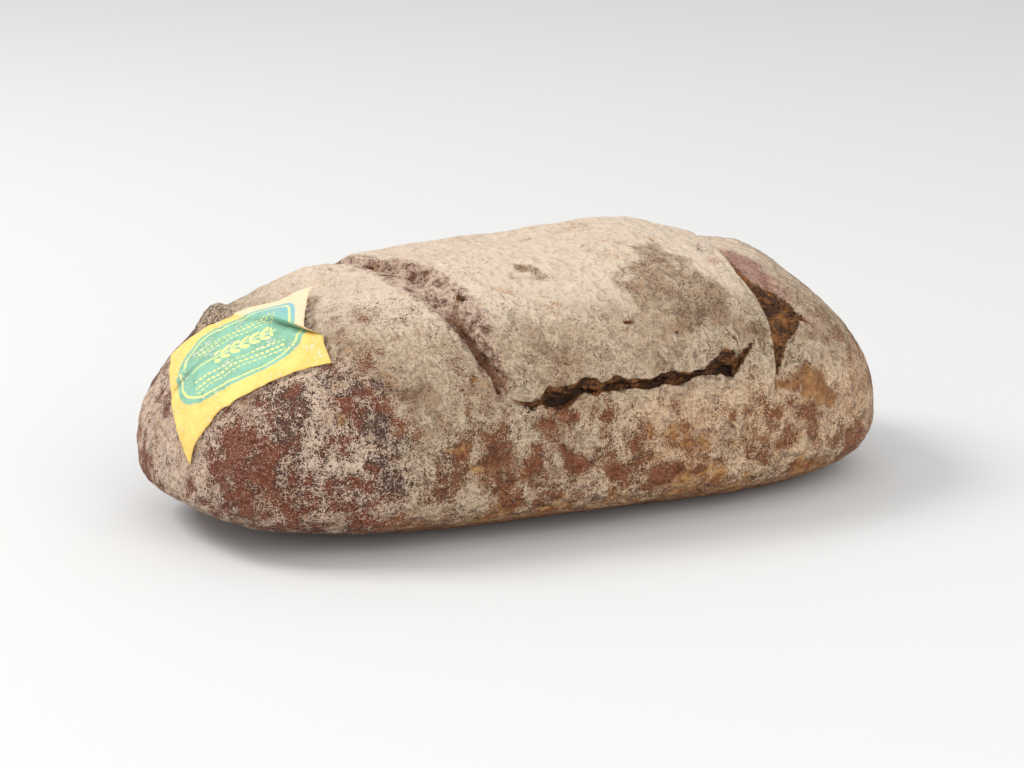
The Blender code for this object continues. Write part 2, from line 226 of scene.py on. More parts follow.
# places with a finish of their own: middle and reach, in mm
patches = {
    # bare crust
    "rust": (
        ((-153, -44, 45), 7), ((-143, -54, 44), 10), ((-142, -56, 37), 10), ((-124, -65, 38), 13),
        ((-130, -63, 33), 10), ((-153, -46, 29), 9), ((-159, -34, 30), 7), ((-116, -69, 34), 8),
        ((-145, -54, 26), 8), ((-124, -65, 25), 8), ((-105, -71, 28), 7), ((-95, -74, 40), 8),
        ((-88, -74, 34), 7), ((-66, -76, 32), 6), ((-62, -77, 39), 7), ((-45, -78, 41), 8),
        ((-41, -80, 30), 5), ((-39, -80, 22), 6), ((-28, -80, 35), 6), ((-21, -81, 21), 6),
        ((-14, -78, 55), 5), ((-22, -79, 50), 6), ((-9, -81, 35), 6), ((0, -82, 34), 6),
        ((3, -82, 29), 6), ((12, -83, 28), 6), ((15, -82, 20), 6),
        ((42, -83, 23), 4), ((80, -78, 45), 5), ((95, -76, 43), 6), ((104, -75, 40), 6),
        ((106, -75, 33), 5), ((90, -78, 31), 6), ((80, -80, 28), 6), ((120, -71, 24), 7),
        ((135, -60, 15), 7), ((64, -79, 50), 3), ((70, -79, 47), 4), ((78, -77, 53), 3),
        ((-3, -80, 52), 3), ((6, -81, 49), 3), ((-163, 12, 42), 5), ((-165, 13, 31), 5),
        ((38, -69, 81), 2), ((-58, -74, 59), 3), ((162, -20, 30), 10), ((158, -42, 40), 8),
        ((18, -83, 40), 5), ((19, -83, 34), 5), ((17, -82, 20), 6), ((10, -83, 25), 5),
        ((26, -83, 21), 5), ((33, -82, 21), 4), ((99, -76, 41), 5), ((82, -78, 44), 4),
        ((21, -83, 31), 5), ((28, -83, 22), 6), ((47, -82, 24), 5), ((85, -78, 42), 4),
        ((117, -72, 25), 6), ((128, -66, 19), 7), ((138, -62, 21), 7),
        ((123, -70, 28), 5), ((66, -79, 49), 3), ((3, -81, 49), 3), ((146, -54, 20), 6),
    ),
    "gold": (
        ((22, -83, 40), 6), ((35, -83, 41), 6), ((43, -82, 20), 6), ((55, -80, 18), 6),
        ((101, -72, 54), 5), ((-108, -69, 57), 5), ((-152, -47, 34), 3), ((-126, -65, 24), 3),
        ((-61, -76, 44), 6), ((-54, -78, 34), 6), ((-43, -78, 16), 7), ((-16, -79, 16), 7),
        ((11, -79, 15), 7), ((40, -78, 14), 7),
        ((71, -75, 13), 7), ((101, -74, 15), 7), ((-11, -77, 57), 3), ((33, -83, 40), 5),
        ((37, -83, 36), 5), ((45, -82, 21), 5), ((51, -82, 21), 5), ((47, -82, 37), 4),
    ),
    "dark": (
        ((-103, -65, 71), 9), ((-121, -59, 65), 11), ((-128, -60, 56), 9), ((-96, -72, 58), 10),
        ((-90, -74, 46), 8), ((-108, -60, 74), 8), ((-127, 24, 84), 11), ((-126, 34, 80), 12),
        ((-133, 24, 79), 10), ((-83, -66, 74), 8), ((-126, -52, 70), 9), ((-85, -75, 33), 6),
        ((-131, 20, 82), 12), ((-136, 12, 76), 9),
        ((-102, -64, 71), 6), ((-97, -65, 73), 5), ((-121, -59, 66), 6), ((-114, -62, 67), 6),
        ((-127, -58, 61), 6), ((-91, -73, 56), 6), ((-87, -75, 46), 5),
    ),
    # flour rubbed thin
    "thin": (
        ((38, -52, 97), 14), ((56, -55, 94), 13), ((48, -62, 88), 12), ((28, -72, 77), 4),
        ((51, -38, 104), 12), ((83, -68, 77), 5), ((-12, -40, 104), 7), ((64, -63, 86), 9),
        ((125, -48, 66), 10), ((138, -40, 52), 10), ((8, -25, 108), 3), ((-75, -70, 66), 8),
    ),
    # flour worn to fine specks
    "worn": (
        ((-77, -40, 96), 8), ((-69, -44, 95), 7), ((-86, -41, 94), 8), ((-98, -56, 81), 7),
        ((-89, -56, 84), 7), ((-102, -50, 84), 7), ((-81, -56, 85), 6), ((-96, -46, 89), 6),
        ((56, -57, 93), 11), ((50, -66, 84), 10), ((80, -66, 78), 8), ((10, -62, 90), 7),
        ((-30, -60, 88), 6), ((-112, -46, 82), 7),
    ),
    # flour lying thick
    "thick": (
        ((-76, -62, 80), 14), ((84, -73, 62), 8), ((66, -78, 56), 8), ((45, -79, 56), 9),
        ((20, -80, 55), 8), ((62, -80, 40), 7), ((100, -78, 24), 7), ((-28, -80, 46), 6),
        ((-5, -82, 43), 5), ((-66, -72, 64), 9), ((30, -82, 48), 7), ((124, -64, 52), 9),
        ((112, -70, 64), 8), ((-56, -78, 22), 8), ((2, -83, 20), 6), ((-84, -66, 62), 5),
        ((125, -5, 90), 14), ((140, -10, 80), 12), ((112, 10, 96), 10),
    ),
    # a small scorched knob behind the label
    "knob": (((-130, 23, 83), 8),),
    # torn open to the crumb beside the right tear
    "open": (
        ((92, -73, 54), 3), ((97, -73, 53), 4), ((104, -71, 55), 5), ((109, -71, 52), 6),
        ((112, -71, 47), 6), ((118, -70, 44), 5), ((103, -73, 49), 4),
    ),
}

# more of them round the back: how many, seed, lowest, highest and the range of reaches, in mm
strays = {
    "rust": (46, 5, 6, 60, (4, 10)),
    "gold": (40, 6, 4, 40, (5, 9)),
    "dark": (26, 7, 30, 100, (6, 12)),
}
strayShare = 0.85

# relief over the form: sizes of the lumps, then how far they stand out and where
crags = {
    "swellSize": 0.030,
    "driftSize": 0.009,
    "coarseSize": 0.0052,
    "fineSize": 0.0024,
    "broadSize": 0.013,
    "patchDrift": 0.008,
    "openDrift": 0.0035,
    "baseFade": (0.001, 0.012),
    "swell": 0.0012,
    "crust": 0.00042,
    "leftEnd": 0.00024,
    "dark": 0.00020,
    "wall": 0.0017,
    "crumb": 0.0011,
    "shoulder": 0.00022,
    "fineCrust": 0.00022,
    "fineWall": 0.0006,
    "fineCrumb": 0.00055,
    "broadCrust": 0.00080,
    "broadWall": 0.0020,
    "openDepth": 0.0007,
    "knobHeight": 0.0024,
    "lipHeight": 0.0006,
    "lipBack": 0.0016,
    "lipWide": 0.0013,
}

# between which places each zone of the finish fades in or out
zoning = {
    "leftEnd": (0.070, 0.105),
    "leftEndTop": 0.085,
    "leftSide": (0.050, 0.085),
    "farLeft": (0.146, 0.160),
    "top": (0.060, 0.100),
    "sides": (0.044, 0.062),
    "highUp": (0.080, 0.103),
    "nearFloor": (0.010, 0.021),
    # where the painted shade round the loaf's foot fades out
    "floorShade": (0.005, 0.014),
    "warmFrom": (-0.02, 0.03),
    "warmBelow": (0.050, 0.066),
    "warmNearFloor": (-0.11, -0.04),
    # where the painted shade along the groove's floor runs
    "grooveShadeAlong": (0.036, 0.052),
    "grooveShadeAbove": (0.058, 0.066),
    "splitDepth": (0.0004, 0.0011),
}

# how much flour lies where: what the crust has, then what each place adds or lacks
flouring = {
    "crust": 0.86,
    "top": 0.24,
    "slab": 0.14,
    "thick": 0.28,
    "leftEnd": 0.29,
    "farLeft": 0.46,
    "groove": 0.27,
    "rust": 0.84,
    "gold": 0.62,
    "dark": 0.36,
    "rustAtEnd": 0.44,
    "sides": 0.08,
    "thin": 0.34,
    "base": 0.72,
    "worn": 0.20,
    "most": 1.3,
}


def risen(block):
    # points of a cube, -1 to 1, moved onto the smooth dough
    spread = np.tan(block * math.pi / 4)
    plan = np.abs(spread[:, 0]) ** dough["planPower"] + np.abs(spread[:, 1]) ** dough["planPower"]
    size = plan ** (dough["sidePower"] / dough["planPower"])
    size += np.abs(spread[:, 2]) ** dough["sidePower"]
    points = spread * size[:, None] ** (-1 / dough["sidePower"])
    drop = dough["dropBelow"] * (1 + dough["farEndDeeper"] * np.clip(points[:, 0], 0, 1) ** 1.5)
    points[:, 2] *= np.where(points[:, 2] > 0, dough["riseAbove"], drop)
    points[:, 1] *= dough["width"] / 2 * (1 + dough["farEndWider"] * points[:, 0])
    points[:, 0] *= dough["length"] / 2
    points[:, 2] += dough["widestLevel"]
    z, ease = points[:, 2], dough["flatEase"]
    points[:, 2] = np.where(z < -ease, 0, np.where(z < ease, (z + ease) ** 2 / (4 * ease), z))
    return points


ruler = np.linspace(-0.175, 0.175, 7001)


def wobble(size, height, seed):
    # unevenness of a torn edge along its length
    spots = np.stack([ruler, ruler * 0, ruler * 0], -1)
    return lumps(spots, size, seed, 3) * height


def tearLines():
    # where each line of the tears runs, at every place along the ruler
    lines, thinnest = {}, tears["thinnest"]
    stations = {}
    for name in ("left", "right", "front"):
        where, *values = np.array(tears[name]).T
        stations[name] = [np.interp(ruler, where, value) for value in values]
    shoulder, floor, rim, lines["leftDepth"] = stations["left"]
    lines["shoulder"] = shoulder + wobble(0.010, 0.0012, 1)
    lines["floor"] = np.maximum(floor + wobble(0.006, 0.0012, 2), lines["shoulder"] + thinnest)
    lines["rim"] = np.maximum(rim + wobble(0.009, 0.0026, 3), lines["floor"] + 2 * thinnest)
    edge, torn, skin, lines["rightDepth"] = stations["right"]
    lines["edge"] = edge + wobble(0.012, 0.0009, 4)
    torn = np.maximum(torn + wobble(0.006, 0.0026, 5), thinnest)
    lines["torn"] = lines["edge"] + torn
    lines["skin"] = lines["edge"] + np.maximum(skin + wobble(0.007, 0.0022, 6), torn + thinnest)
    lip, lines["opening"], lines["frontDepth"] = stations["front"]
    lines["lip"] = lip + wobble(0.004, 0.0007, 7)
    lines["opening"] = lines["opening"] * (1 + wobble(0.003, 0.25, 8))
    lines["top"] = lines["lip"] + np.maximum(lines["opening"], thinnest)
    lines["edgeBend"] = lines["edge"] - tears["lipBend"]
    lines["edgeFoot"] = lines["edge"] + tears["lipFoot"]
    lines["lipBend"] = lines["lip"] - tears["lipBend"]
    lines["lipFoot"] = lines["lip"] + tears["lipFoot"]
    return lines


lines = tearLines()
grooveLines = ("shoulder", "floor", "rim", "edgeBend", "edgeFoot", "torn", "skin")
crackLines = ("lipBend", "lipFoot", "top")


def lineAt(name, where):
    return np.interp(where, ruler, lines[name])


def findOnBlock(block, axis, isPast):
    low, high = -np.ones(len(block)), np.ones(len(block))
    for _ in range(15):
        middle = (low + high) / 2
        block[:, axis] = middle
        past = isPast(risen(block))
        low, high = np.where(past, low, middle), np.where(past, middle, high)
    return (low + high) / 2


def shareOut(count, stops, cells):
    # rows of cells shared out between the block's ends and these stops across it
    knots = [-np.ones(len(count)), *stops, np.ones(len(count))]
    place, start = np.full(len(count), -1.0), 0
    for low, high, many in zip(knots, knots[1:], cells):
        place += np.clip((count - start) / many, 0, 1) * (high - low)
        start += many
    return place


def followTears(block):
    # slides the cells until their edges lie along the tears
    column = (block[:, 0] + 1) / 2 * sum(dough["cellsAlong"])
    row = (block[:, 2] + 1) / 2 * sum(dough["cellsUp"])
    placed = block.copy()
    for _ in range(2):
        front = placed.copy()
        front[:, 1] = -1
        levels = [
            findOnBlock(front.copy(), 2, lambda p, name=name: p[:, 2] > lineAt(name, p[:, 0]))
            for name in crackLines
        ]
        share = smooth(-block[:, 1], 0.4, 1)
        placed[:, 2] += (shareOut(row, levels, dough["cellsUp"]) - placed[:, 2]) * share
        ways = [
            findOnBlock(placed.copy(), 0, lambda p, name=name: p[:, 0] > lineAt(name, p[:, 1]))
            for name in grooveLines
        ]
        share = smooth(block[:, 2], -0.8, -0.1)
        level = shareOut(column, ways, dough["cellsAlong"])
        placed[:, 0] = block[:, 0] + (level - block[:, 0]) * share
    return placed


def near(points, spots):
    # how much of each point lies in these places
    most = np.zeros(len(points))
    for middle, reach in spots:
        gone = np.linalg.norm(points - np.array(middle) * mm, axis=1) / (reach * mm)
        most = np.maximum(most, 1 - smooth(gone, 0.55, 1.25))
    return most


def strayPatches(count, seed, lowest, highest, reach):
    # patches for the sides that the front ones don't reach
    random = np.random.default_rng(seed)
    found = []
    while len(found) < count:
        way = random.normal(size=3)
        spot = risen((way / np.abs(way).max())[None])[0] / mm
        if spot[1] > -25 and lowest < spot[2] < highest:
            found.append((tuple(spot), random.uniform(*reach)))
    return tuple(found)


def shapeTears(points):
    # depth of the tears at each point, and what shows in them
    left = (lineAt(name, points[:, 1]) for name in ("shoulder", "floor", "rim", "leftDepth"))
    shoulder, floor, rim, leftDepth = left
    slope = (points[:, 0] - floor) / (rim - floor)
    bank = (floor - points[:, 0]) / (floor - shoulder)
    valley = np.minimum(1 - smooth(slope, 0, 1), 1 - smooth(bank, 0, 1))
    scarp = rim - tears["scarpWide"]
    step = np.minimum(
        1 - smooth(points[:, 0], scarp, rim), smooth(points[:, 0], shoulder, scarp)
    )
    toStep = smooth(points[:, 1], *tears["stepFrom"])
    aboveLeft = smooth(points[:, 2], *tears["leftFade"])
    leftShape = valley + (step * tears["stepShare"] - valley) * toStep
    leftShape *= aboveLeft
    right = (lineAt(name, points[:, 1]) for name in ("edge", "torn", "skin", "rightDepth"))
    edge, torn, skin, rightDepth = right
    past = points[:, 0] - edge
    crumbShape = 1 - 0.5 * np.clip(past / (torn - edge), 0, 1)
    skinShape = 0.5 * (1 - smooth(points[:, 0], torn, skin)) ** 1.4
    rightShape = np.where(points[:, 0] < torn, crumbShape, skinShape)
    rightShape *= smooth(past, -tears["lipBend"], tears["lipFoot"])
    rightShape *= smooth(points[:, 2], *tears["rightFade"])
    wider = smooth(-points[:, 1], 0.034, 0.044) * smooth(points[:, 1], -0.068, -0.058)
    wider = tears["crumbWider"] * wider
    narrowing = 0.12 + 0.88 * smooth(points[:, 2], 0.048, 0.068)
    front = (lineAt(name, points[:, 0]) for name in ("lip", "opening", "frontDepth"))
    lip, opening, frontDepth = front
    over = points[:, 2] - lip
    ends = tears["front"][0][0], tears["front"][-1][0]
    facing = (points[:, 1] < tears["crackFaces"]) & (points[:, 0] > ends[0])
    facing = facing & (points[:, 0] < ends[1])
    frontShape = smooth(over, -tears["lipBend"], tears["lipFoot"]) * facing
    frontShape *= 1 - smooth(over / opening, 0.2, 1)
    return {
        "left": leftShape * leftDepth,
        "right": rightShape * rightDepth,
        "front": frontShape * frontDepth,
        "leftShare": leftShape * smooth(leftDepth, 0, 0.003),
        "slope": slope,
        "wallDepth": leftDepth * aboveLeft,
        "crumb": np.maximum(
            smooth(frontShape, 0.02, 0.10) * smooth(frontDepth, 0.0006, 0.0018),
            smooth(past, -0.0002, 0.0003) * (past < (torn - edge + 0.0004 + wider) * narrowing)
            * smooth(rightDepth, 0.001, 0.004)
            * smooth(points[:, 2] + lumps(points, 0.004, 51, 2) * 0.004, 0.050, 0.056),
        ),
        "skin": (points[:, 0] > edge) * (1 - smooth(points[:, 0], skin - 0.009, skin + 0.003))
        * smooth(rightDepth, 0.001, 0.004) * smooth(points[:, 2], 0.060, 0.078),
        "pastSlabEdge": past,
        "pastRim": points[:, 0] - rim,
        "overLip": over,
    }


def splitDepth(points):
    deepest = np.zeros(len(points))
    for start, end, half, depth in splits:
        start, end = np.array(start) * mm, np.array(end) * mm
        run = np.clip((points - start) @ (end - start) / ((end - start) @ (end - start)), 0, 1)
        away = np.linalg.norm(points - start - run[:, None] * (end - start), axis=1)
        away += lumps(points, 0.0016, 31) * half * mm * 0.5
        deepest = np.maximum(deepest, depth * mm * bell(away, half * mm))
    return deepest


def slabRise(points, shape):
    rise = smooth(shape["pastRim"], *tears["rimEase"])
    rise = rise * smooth(-shape["pastSlabEdge"], *tears["edgeEase"])
    behind = 1 - smooth(points[:, 1], *tears["slabBackFade"])
    rise *= smooth(shape["overLip"], *tears["crackEase"]) * behind
    return dough["slabLift"] * rise * smooth(points[:, 2], *tears["slabFade"])


def softRise(points):
    total = np.zeros(len(points))
    for middle, reach, height in doughLumps:
        total += height * np.exp(-2 * ((points - middle) ** 2).sum(1) / reach**2)
    return total


def normalsOf(data):
    normals = np.zeros(len(data.vertices) * 3)
    data.vertices.foreach_get("normal", normals)
    return normals.reshape(-1, 3)


def place(data, points):
    data.vertices.foreach_set("co", points.ravel())
    data.update()


def keep(data, name, values):
    # stores one number or one triple for each point, for the finish to read
    kind = "FLOAT" if values.ndim == 1 else "FLOAT_VECTOR"
    layer = data.attributes.new(name, kind, "POINT")
    layer.data.foreach_set("value" if kind == "FLOAT" else "vector", values.ravel())


def linked(name, data, material):
    piece = bpy.data.objects.new(name, data)
    bpy.context.scene.collection.objects.link(piece)
    data.materials.append(material)
    return piece


def meshData(mesh, name):
    data = bpy.data.meshes.new(name)
    mesh.to_mesh(data)
    mesh.free()
    return data


def pointsOf(data):
    points = np.zeros(len(data.vertices) * 3)
    data.vertices.foreach_get("co", points)
    return points.reshape(-1, 3)


def blockMesh(name):
    mesh = bmesh.new()
    bmesh.ops.create_cube(mesh, size=2)
    cells = sum(dough["cellsAlong"]), dough["cellsAcross"], sum(dough["cellsUp"])
    for axis, count in enumerate(cells):
        ways = [e for e in mesh.edges if abs((e.verts[0].co - e.verts[1].co)[axis]) > 0.5]
        bmesh.ops.subdivide_edges(mesh, edges=ways, cuts=count - 1)
    return meshData(mesh, name)


def patchShares(smoothLoaf, uneven):
    moved = smoothLoaf + uneven * crags["patchDrift"]
    spots = {name: near(moved, where) for name, where in patches.items()}
    spots["open"] = near(smoothLoaf + uneven * crags["openDrift"], patches["open"])
    for name, settings in strays.items():
        stray = near(moved, strayPatches(*settings)) * strayShare
        spots[name] = np.maximum(spots[name], stray)
    return spots


def craggy(points, shape, spots, leftEnd, leftSide, split):
    # height of the crags, pores and torn crumb, and the same on an even scale for the finish
    torn, wall = shape["crumb"], shape["leftShare"]
    coarse = lumps(points, crags["coarseSize"], 11, 3)
    fine = lumps(points, crags["fineSize"], 12, 2)
    rough = crags["crust"] + crags["leftEnd"] * leftEnd + crags["dark"] * spots["dark"]
    rough = rough + crags["wall"] * wall + crags["crumb"] * torn + crags["shoulder"] * leftSide
    fineRough = crags["fineCrust"] + crags["fineWall"] * wall + crags["fineCrumb"] * torn
    height = coarse * rough + fine * fineRough
    relief = height / (rough + 0.0004)
    broad = lumps(points, crags["broadSize"], 13, 2)
    height += broad * (crags["broadCrust"] + crags["broadWall"] * wall)
    height -= split + crags["openDepth"] * spots["open"]
    height += crags["knobHeight"] * spots["knob"]
    proud = bell(shape["pastSlabEdge"] + crags["lipBack"], crags["lipWide"])
    height += crags["lipHeight"] * proud * smooth(points[:, 2], 0.05, 0.06)
    return height, relief


def flourOn(points, shape, spots, leftEnd, pinkish, nearFloor):
    onSlab = smooth(shape["pastRim"], -0.002, 0.004)
    onSlab = onSlab * smooth(-shape["pastSlabEdge"], -0.001, 0.002)
    onSlab *= smooth(shape["overLip"], 0.0, 0.004)
    farLeft = smooth(-points[:, 0], *zoning["farLeft"])
    sides = 1 - smooth(points[:, 2], *zoning["sides"])
    f = flouring
    flour = f["crust"] + f["top"] * smooth(points[:, 2], *zoning["top"])
    flour += f["slab"] * onSlab + f["thick"] * spots["thick"]
    flour -= f["leftEnd"] * leftEnd - f["farLeft"] * farLeft
    flour -= f["groove"] * pinkish
    flour -= f["rust"] * spots["rust"] + f["gold"] * spots["gold"] + f["dark"] * spots["dark"]
    flour += f["rustAtEnd"] * spots["rust"] * leftEnd
    flour -= f["sides"] * sides
    flour -= f["thin"] * spots["thin"] + f["base"] * nearFloor + f["worn"] * spots["worn"]
    return np.clip(flour, 0, f["most"])


def markZones(data, points, shape, spots, uneven, leftEnd, split):
    # what the finish reads at each point
    inGroove = smooth(shape["wallDepth"], 0, 0.003)
    pinkish = (1 - smooth(np.abs(shape["slope"] - 0.35), 0.5, 1.1)) * inGroove
    nearFloor = 1 - smooth(points[:, 2] + uneven[:, 0] * 0.004, *zoning["nearFloor"])
    warm = 0.75 * smooth(points[:, 0], *zoning["warmFrom"])
    warm = warm * (1 - smooth(points[:, 2], *zoning["warmBelow"])) * (1 - nearFloor)
    warm = np.maximum(warm, nearFloor * smooth(points[:, 0], *zoning["warmNearFloor"]))
    # painted shade: a dark line along the floor of the left groove, and one round the foot where
    # the loaf meets the floor
    line = bell(shape["slope"] - 0.10, 0.38) * smooth(-points[:, 1], *zoning["grooveShadeAlong"])
    line *= smooth(points[:, 2], *zoning["grooveShadeAbove"])
    floorShade = smooth(points[:, 2] + uneven[:, 1] * 0.003, *zoning["floorShade"])
    line = np.maximum(line, 0.95 - floorShade)
    split = smooth(split, *zoning["splitDepth"])
    # painted shade: the crumb darkens where the tears run deepest, and in the splits
    crackShade = np.clip(shape["front"] / 0.0065, 0, 1) ** 3
    crackShade = crackShade + np.clip(shape["right"] / 0.0085, 0, 1) ** 3
    crackShade = np.clip(crackShade + 0.8 * smooth(split, 0.5, 1.0), 0, 1)
    torn = np.maximum(shape["crumb"], split)
    highUp = smooth(points[:, 2], *zoning["highUp"]) - 1.3 * spots["thin"] * (1 - leftEnd)
    keep(data, "flourCover", flourOn(points, shape, spots, leftEnd, pinkish, nearFloor))
    keep(data, "bareKinds", np.stack([spots["rust"], spots["gold"], spots["dark"]], -1))
    keep(data, "tornPartsAndShade", np.stack([torn, crackShade, shape["skin"]], -1))
    keep(data, "zones", np.stack([pinkish, leftEnd, line], -1))
    keep(data, "tones", np.stack([spots["open"], warm, highUp], -1))


def flattenBase(data):
    # one flat face under the loaf
    mesh = bmesh.new()
    mesh.from_mesh(data)
    under = [f for f in mesh.faces if max(v.co.z for v in f.verts) < 1e-6]
    bmesh.ops.dissolve_faces(mesh, faces=under)
    bmesh.ops.triangulate(mesh, faces=[f for f in mesh.faces if len(f.verts) > 4])
    mesh.to_mesh(data)
    mesh.free()


def makeLoaf(material):
    data = blockMesh("loaf_crust")
    smoothLoaf = risen(followTears(pointsOf(data)))
    place(data, smoothLoaf)
    shape = shapeTears(smoothLoaf)

    # the CAD solid's own form
    rise = slabRise(smoothLoaf, shape) + softRise(smoothLoaf)
    rise += lumps(smoothLoaf, crags["swellSize"], 9, 2) * crags["swell"]
    free = smooth(smoothLoaf[:, 2], *crags["baseFade"])
    tear = np.maximum(np.maximum(shape["left"], shape["right"]), shape["front"])
    points = smoothLoaf + normalsOf(data) * (rise * free - tear)[:, None]
    place(data, points)

    # crags, pores and the torn crumb, over the form
    uneven = [lumps(smoothLoaf, crags["driftSize"], 20 + n, 3) for n in range(3)]
    uneven = np.stack(uneven, -1)
    spots = patchShares(smoothLoaf, uneven)
    underTop = smooth(zoning["leftEndTop"] - smoothLoaf[:, 2], 0, 0.02)
    leftEnd = smooth(-smoothLoaf[:, 0], *zoning["leftEnd"]) * underTop
    leftSide = smooth(-smoothLoaf[:, 0], *zoning["leftSide"])
    split = splitDepth(points)
    height, relief = craggy(points, shape, spots, leftEnd, leftSide, split)
    points = points + normalsOf(data) * (height * free)[:, None]

    # fitted to the solid that it stands for
    bottom, top = (np.array(corner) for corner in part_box("bread_loaf"))
    span = points.max(0) - points.min(0)
    points = bottom + (points - points.min(0)) / span * (top - bottom)
    place(data, points)

    # the relief also goes to the finish, which paints shade into the hollows with it
    keep(data, "relief", relief)
    markZones(data, points, shape, spots, uneven, leftEnd, split)
    flattenBase(data)
    data.shade_smooth()
    print("loaf:", len(data.polygons), "faces")
    return linked("loaf_crust", data, material)


# finishes

class Wire:
    # one socket of a node, for sums written in Python
    def __init__(self, graph, socket):
        self.graph, self.socket = graph, socket

    def maths(self, operation, *others):
        return self.graph.node("ShaderNodeMath", {"operation": operation}, *others)

    def __add__(self, other): return self.maths("ADD", self, other)
    def __radd__(self, other): return self.maths("ADD", other, self)
    def __sub__(self, other): return self.maths("SUBTRACT", self, other)
    def __rsub__(self, other): return self.maths("SUBTRACT", other, self)
    def __mul__(self, other): return self.maths("MULTIPLY", self, other)
    def __rmul__(self, other): return self.maths("MULTIPLY", other, self)
    def __truediv__(self, other): return self.maths("DIVIDE", self, other)
    def __pow__(self, other): return self.maths("POWER", self, other)
    def __abs__(self): return self.maths("ABSOLUTE", self)

    def most(self, other): return self.maths("MAXIMUM", self, other)
    def part(self): return self.maths("FRACT", self)

    def between(self, low, high):
        # 0 below low and 1 above high, with soft ends
        settings = {"interpolation_type": "SMOOTHSTEP"}
        return self.graph.node("ShaderNodeMapRange", settings, self, low, high, 0.0, 1.0)


class Graph:
    def __init__(self, name, **fixed):
        self.material = bpy.data.materials.new(name)
        self.material.use_nodes = True
        self.tree = self.material.node_tree
        self.shader = self.tree.nodes["Principled BSDF"]
        for socket, value in fixed.items():
            self.shader.inputs[socket].default_value = value

    def node(self, kind, settings, *values, out=0, **named):
        # a new node: its settings first, then the values or links of its sockets
        made = self.tree.nodes.new(kind)
        for key, value in settings.items():
            setattr(made, key, value)
        sockets = [s for s in made.inputs if s.enabled]
        for socket, value in zip(sockets, values):
            self.join(value, socket)
        for key, value in named.items():
            self.join(value, next(s for s in sockets if s.name == key))
        return Wire(self, [s for s in made.outputs if s.enabled][out])

    def join(self, value, socket):
        if isinstance(value, Wire):
            self.tree.links.new(value.socket, socket)
        else:
            socket.default_value = value

    def feed(self, name, value):
        self.join(value, self.shader.inputs[name])

    def mix(self, share, first, second, blend="MIX"):
        settings = {"data_type": "RGBA", "blend_type": blend}
        return self.node("ShaderNodeMix", settings, share, first, second)

    def noise(self, where, size, detail, roughness):
        return self.node(
            "ShaderNodeTexNoise", {},
            Vector=where, Scale=1 / size, Detail=detail, Roughness=roughness,
        )

    def kept(self, name):
        return self.node("ShaderNodeAttribute", {"attribute_name": name}, out=2)

    def keptParts(self, name):
        triple = self.node("ShaderNodeAttribute", {"attribute_name": name}, out=1)
        return [self.node("ShaderNodeSeparateXYZ", {}, triple, out=n) for n in range(3)]

    def bump(self, height, distance):
        self.feed("Normal", self.node("ShaderNodeBump", {}, Height=height, Distance=distance))


def paint(red, green, blue):
    # a colour as a picture shows it, 0 to 255, turned into light
    parts = [c / 255 for c in (red, green, blue)]
    return (*[c / 12.92 if c < 0.04045 else ((c + 0.055) / 1.055) ** 2.4 for c in parts], 1.0)


crustPaint = {
    "flour": paint(199, 178, 151),
    "flourShade": paint(164, 138, 112),
    "flourPale": paint(218, 199, 178),
    "flourPeach": paint(222, 188, 153),
    "flourRose": paint(200, 167, 146),
    "flourAsh": paint(228, 199, 176),
    "flourBrown": paint(152, 124, 96),
    "baked": paint(132, 80, 44),
    "bakedDark": paint(112, 70, 44),
    "rust": paint(126, 70, 38),
    "rustDeep": paint(90, 48, 28),
    "gold": paint(146, 89, 40),
    "goldPale": paint(184, 138, 82),
    "scorched": paint(84, 57, 46),
    "endRed": paint(122, 58, 34),
    "endDark": paint(72, 43, 34),
    "crumb": paint(158, 104, 56),
    "crumbDark": paint(76, 48, 27),
    # painted shade for the deepest parts of the tears
    "crumbShade": paint(56, 35, 19),
    "skin": paint(142, 100, 86),
    "wall": paint(122, 78, 60),
    # painted shade for the groove's floor and the loaf's foot
    "line": paint(128, 74, 46),
    # painted shade for small pits
    "pitShade": paint(126, 104, 86),
    "rubbed": paint(124, 94, 68),
}

# noises in the crust: size of the grain, detail, roughness
crustNoise = {
    "speck": (0.0005, 1.0, 0.6),
    "grain": (0.0013, 3.0, 0.65),
    "mottle": (0.010, 6.0, 0.72),
    "ragged": (0.013, 6.0, 0.72),
    "cloud": (0.0065, 4.0, 0.6),
    "drift": (0.026, 3.0, 0.5),
    "rough": (0.0045, 1.0, 0.5),
    "pit": (0.0012, 0.0, 0.5),
}


